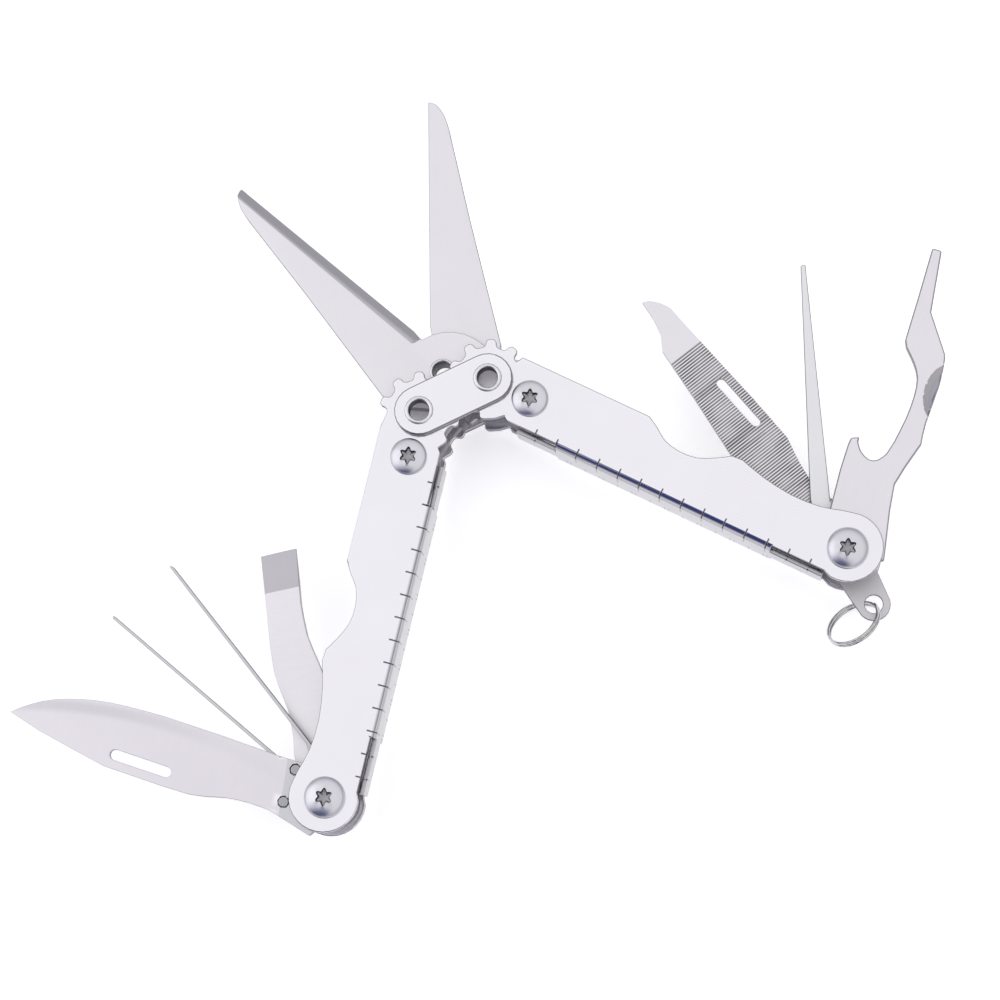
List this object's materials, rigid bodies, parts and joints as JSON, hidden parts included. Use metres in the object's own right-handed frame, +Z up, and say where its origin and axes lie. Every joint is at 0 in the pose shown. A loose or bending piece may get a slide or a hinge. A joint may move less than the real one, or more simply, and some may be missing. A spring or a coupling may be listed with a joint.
{
  "type": "multi tool",
  "caption": "Folding steel multi tool with geared scissor handles; knife, tweezers, driver, opener, pick and file fold into the handles.",
  "frame": {"origin": "centre of the open tool's footprint, on the surface that it lies on", "axes": "+X from the left gear pivot to the right one, +Y along the shut scissor blades, +Z up out of the front face"},
  "size_m": [0.1424, 0.0954, 0.0114],
  "materials": {
    "satin_steel": "satin stainless steel with a fine even grain",
    "blasted_steel": "bead-blasted stainless steel",
    "brushed_steel": "brushed stainless steel",
    "polished_steel": "polished stainless steel",
    "pale_steel": "pale fine-blasted stainless steel"
  },
  "bodies": {
    "link": {"link_plate_front": "satin_steel", "link_rivet_front_left": "polished_steel", "link_rivet_front_right": "polished_steel", "link_plate_rear": "satin_steel", "link_rivet_rear_left": "polished_steel", "link_rivet_rear_right": "polished_steel"},
    "handle_left": {"handle_left": "satin_steel", "drive_screw_left": "polished_steel", "drive_barrel_left": "polished_steel", "end_screw_left": "polished_steel", "end_barrel_left": "polished_steel", "drive_spacer_front_left": "brushed_steel", "drive_spacer_rear_left": "brushed_steel", "end_washer_front_left": "brushed_steel", "end_washer_middle_left": "brushed_steel", "end_washer_rear_left": "brushed_steel"},
    "handle_right": {"handle_right": "satin_steel", "drive_screw_right": "polished_steel", "drive_barrel_right": "polished_steel", "end_screw_right": "polished_steel", "end_barrel_right": "polished_steel", "drive_spacer_front_right": "brushed_steel", "drive_spacer_rear_right": "brushed_steel", "end_washer_front_right": "brushed_steel", "end_washer_second_right": "brushed_steel", "end_washer_third_right": "brushed_steel"},
    "scissor_front": {"scissor_blade_front": "blasted_steel", "scissor_rivet": "polished_steel"},
    "scissor_rear": {"scissor_blade_rear": "blasted_steel"},
    "knife": {"knife_blade": "brushed_steel", "knife_tang_plate": "brushed_steel", "knife_rivet_1": "polished_steel", "knife_rivet_2": "polished_steel"},
    "tweezers": {"tweezer_arm_fixed": "pale_steel"},
    "tweezer_spring": {"tweezer_arm_spring": "pale_steel"},
    "chisel": {"chisel_driver": "brushed_steel"},
    "opener": {"bottle_opener": "brushed_steel"},
    "pick": {"pick": "pale_steel"},
    "file": {"nail_file": "brushed_steel"},
    "tab_washer": {"lanyard_washer": "brushed_steel"},
    "tab": {"lanyard_tab": "brushed_steel"},
    "ring": {"split_ring": "polished_steel"}
  },
  "joints": [
    {"name": "handle_left_swing", "type": "hinge", "parent": "link", "child": "handle_left", "pos_m": [-0.00288, 0.00665, 0.0057], "axis": [0, 0, -1], "range_deg": [-38.5, 27.5]},
    {"name": "handle_right_swing", "type": "hinge", "parent": "link", "child": "handle_right", "pos_m": [0.00752, 0.00665, 0.0057], "axis": [0, 0, 1], "range_deg": [-38.5, 27.5]},
    {"name": "scissor_front_swing", "type": "hinge", "parent": "handle_right", "child": "scissor_front", "pos_m": [0.01153, 0.00161, 0.0057], "axis": [0, 0, -1], "range_deg": [-17.33, 12.38]},
    {"name": "scissor_rear_swing", "type": "hinge", "parent": "handle_left", "child": "scissor_rear", "pos_m": [-0.0069, 0.00161, 0.0057], "axis": [0, 0, 1], "range_deg": [-17.33, 12.38]},
    {"name": "knife_fold", "type": "hinge", "parent": "handle_left", "child": "knife", "pos_m": [-0.03669, -0.03584, 0.0057], "axis": [0, 0, 1], "range_deg": [-85, 91]},
    {"name": "tweezer_fold", "type": "hinge", "parent": "handle_left", "child": "tweezers", "pos_m": [-0.03669, -0.03584, 0.0057], "axis": [0, 0, 1], "range_deg": [-47, 125]},
    {"name": "tweezer_squeeze", "type": "hinge", "parent": "tweezers", "child": "tweezer_spring", "pos_m": [-0.03939, -0.02961, 0.0057], "axis": [0, 0, -1], "range_deg": [0, 15.2], "stiffness_Nm_per_rad": 0.02},
    {"name": "chisel_fold", "type": "hinge", "parent": "handle_left", "child": "chisel", "pos_m": [-0.03669, -0.03584, 0.0057], "axis": [0, 0, 1], "range_deg": [-26, 152]},
    {"name": "opener_fold", "type": "hinge", "parent": "handle_right", "child": "opener", "pos_m": [0.04132, -0.03584, 0.0057], "axis": [0, 0, -1], "range_deg": [-79, 98]},
    {"name": "pick_fold", "type": "hinge", "parent": "handle_right", "child": "pick", "pos_m": [0.04132, -0.03584, 0.0057], "axis": [0, 0, -1], "range_deg": [-55, 122]},
    {"name": "file_fold", "type": "hinge", "parent": "handle_right", "child": "file", "pos_m": [0.04132, -0.03584, 0.0057], "axis": [0, 0, -1], "range_deg": [-24.4, 152]},
    {"name": "tab_washer_turn", "type": "hinge", "parent": "handle_right", "child": "tab_washer", "pos_m": [0.04132, -0.03584, 0.0057], "axis": [0, 0, -1], "range_deg": [-38.5, 27.5]},
    {"name": "tab_swing", "type": "hinge", "parent": "tab_washer", "child": "tab", "pos_m": [0.04132, -0.03584, 0.0057], "axis": [0, 0, -1], "range_deg": [-105, 8]},
    {"name": "ring_swing", "type": "hinge", "parent": "tab", "child": "ring", "pos_m": [0.04171, -0.04347, 0.00349], "axis": [0.9707, 0.2402, 0], "range_deg": [-60, 4]}
  ],
  "couplings": [
    {"joint": "handle_right_swing", "follows": "handle_left_swing", "ratio": 1},
    {"joint": "scissor_front_swing", "follows": "handle_left_swing", "ratio": 0.4501},
    {"joint": "scissor_rear_swing", "follows": "handle_left_swing", "ratio": 0.4501},
    {"joint": "tab_washer_turn", "follows": "handle_left_swing", "ratio": 1}
  ]
}
